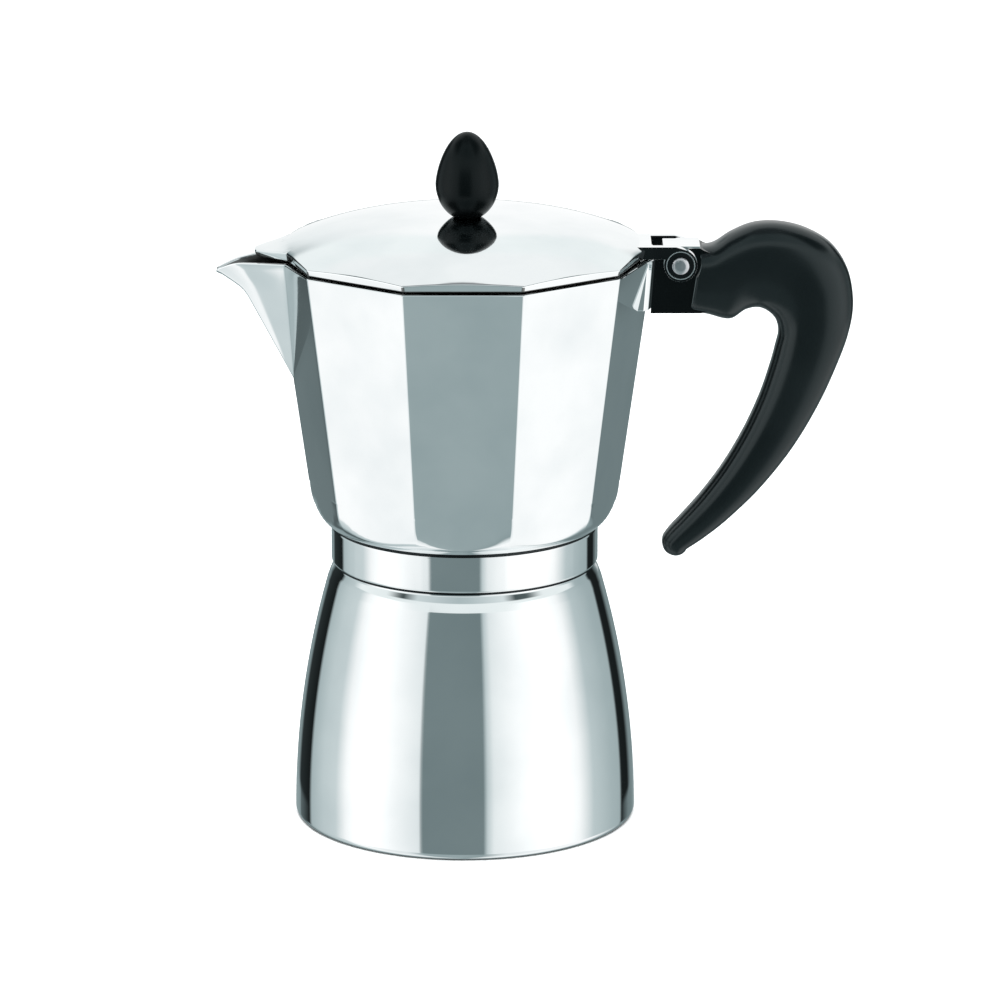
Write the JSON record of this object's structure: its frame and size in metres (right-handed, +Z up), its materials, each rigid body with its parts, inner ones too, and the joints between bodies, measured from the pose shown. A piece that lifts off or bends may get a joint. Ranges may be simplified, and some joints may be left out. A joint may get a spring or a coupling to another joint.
{
  "type": "moka pot",
  "caption": "Stovetop coffee maker: waisted round boiler, ten-sided spouted collector, hinged domed lid with an egg knob, and a black hook handle.",
  "frame": {"origin": "centre of the boiler's flat underside, where the pot rests", "axes": "+Z up along the pot's axis, +X toward the handle, -X toward the spout, +Y toward the safety valve"},
  "size_m": [0.1839, 0.1095, 0.2039],
  "materials": {
    "polished_aluminium": "mirror polished casting",
    "stamped_aluminium": "bright stamped sheet, lightly brushed",
    "cast_column": "as cast, fine satin",
    "brass_valve": "turned brass, slightly tarnished",
    "steel_fixing": "bright turned steel",
    "handle_plastic": "satin black moulded resin",
    "knob_plastic": "satin black moulded resin",
    "seal_rubber": "off-white food-grade silicone"
  },
  "bodies": {
    "boiler": {"boiler": "polished_aluminium", "valve_body": "brass_valve", "valve_washer": "steel_fixing", "valve_seat": "brass_valve", "valve_spring": "steel_fixing"},
    "valve_plunger": {"valve_pin": "brass_valve"},
    "funnel": {"funnel": "stamped_aluminium", "funnel_screen": "stamped_aluminium"},
    "seal": {"gasket": "seal_rubber", "filter_plate": "stamped_aluminium"},
    "column": {"riser_column": "cast_column"},
    "collector": {"collector": "polished_aluminium", "handle": "handle_plastic", "handle_insert": "brass_valve", "handle_screw": "steel_fixing", "hinge_pin": "steel_fixing"},
    "lid": {"lid": "polished_aluminium", "knob": "knob_plastic", "knob_insert": "brass_valve", "knob_washer": "steel_fixing", "knob_screw": "steel_fixing"}
  },
  "joints": [
    {"name": "top_lift", "type": "slide", "parent": "boiler", "child": "seal", "axis": [0, 0, 1], "range_m": [0, 0.16]},
    {"name": "thread_rise", "type": "slide", "parent": "seal", "child": "column", "axis": [0, 0, 1], "range_m": [0, 0.0061]},
    {"name": "top_turn", "type": "hinge", "parent": "column", "child": "collector", "pos_m": [0, 0, 0.08], "axis": [0, 0, 1], "range_deg": [0, 720]},
    {"name": "lid_hinge", "type": "hinge", "parent": "collector", "child": "lid", "pos_m": [0.0623, 0, 0.1665], "axis": [0, 1, 0], "range_deg": [0, 92]},
    {"name": "funnel_lift", "type": "slide", "parent": "boiler", "child": "funnel", "axis": [0, 0, 1], "range_m": [0, 0.097]},
    {"name": "valve_plunge", "type": "slide", "parent": "boiler", "child": "valve_plunger", "axis": [0, 1, 0], "range_m": [0, 0.0015], "stiffness_N_per_m": 900, "springref_m": -0.0005, "deforming": ["valve_spring"]}
  ],
  "couplings": [
    {"joint": "thread_rise", "follows": "top_turn", "m_per_rad": 0.00047746},
    {"joint": "funnel_lift", "follows": "top_lift", "ratio": 0.6}
  ]
}
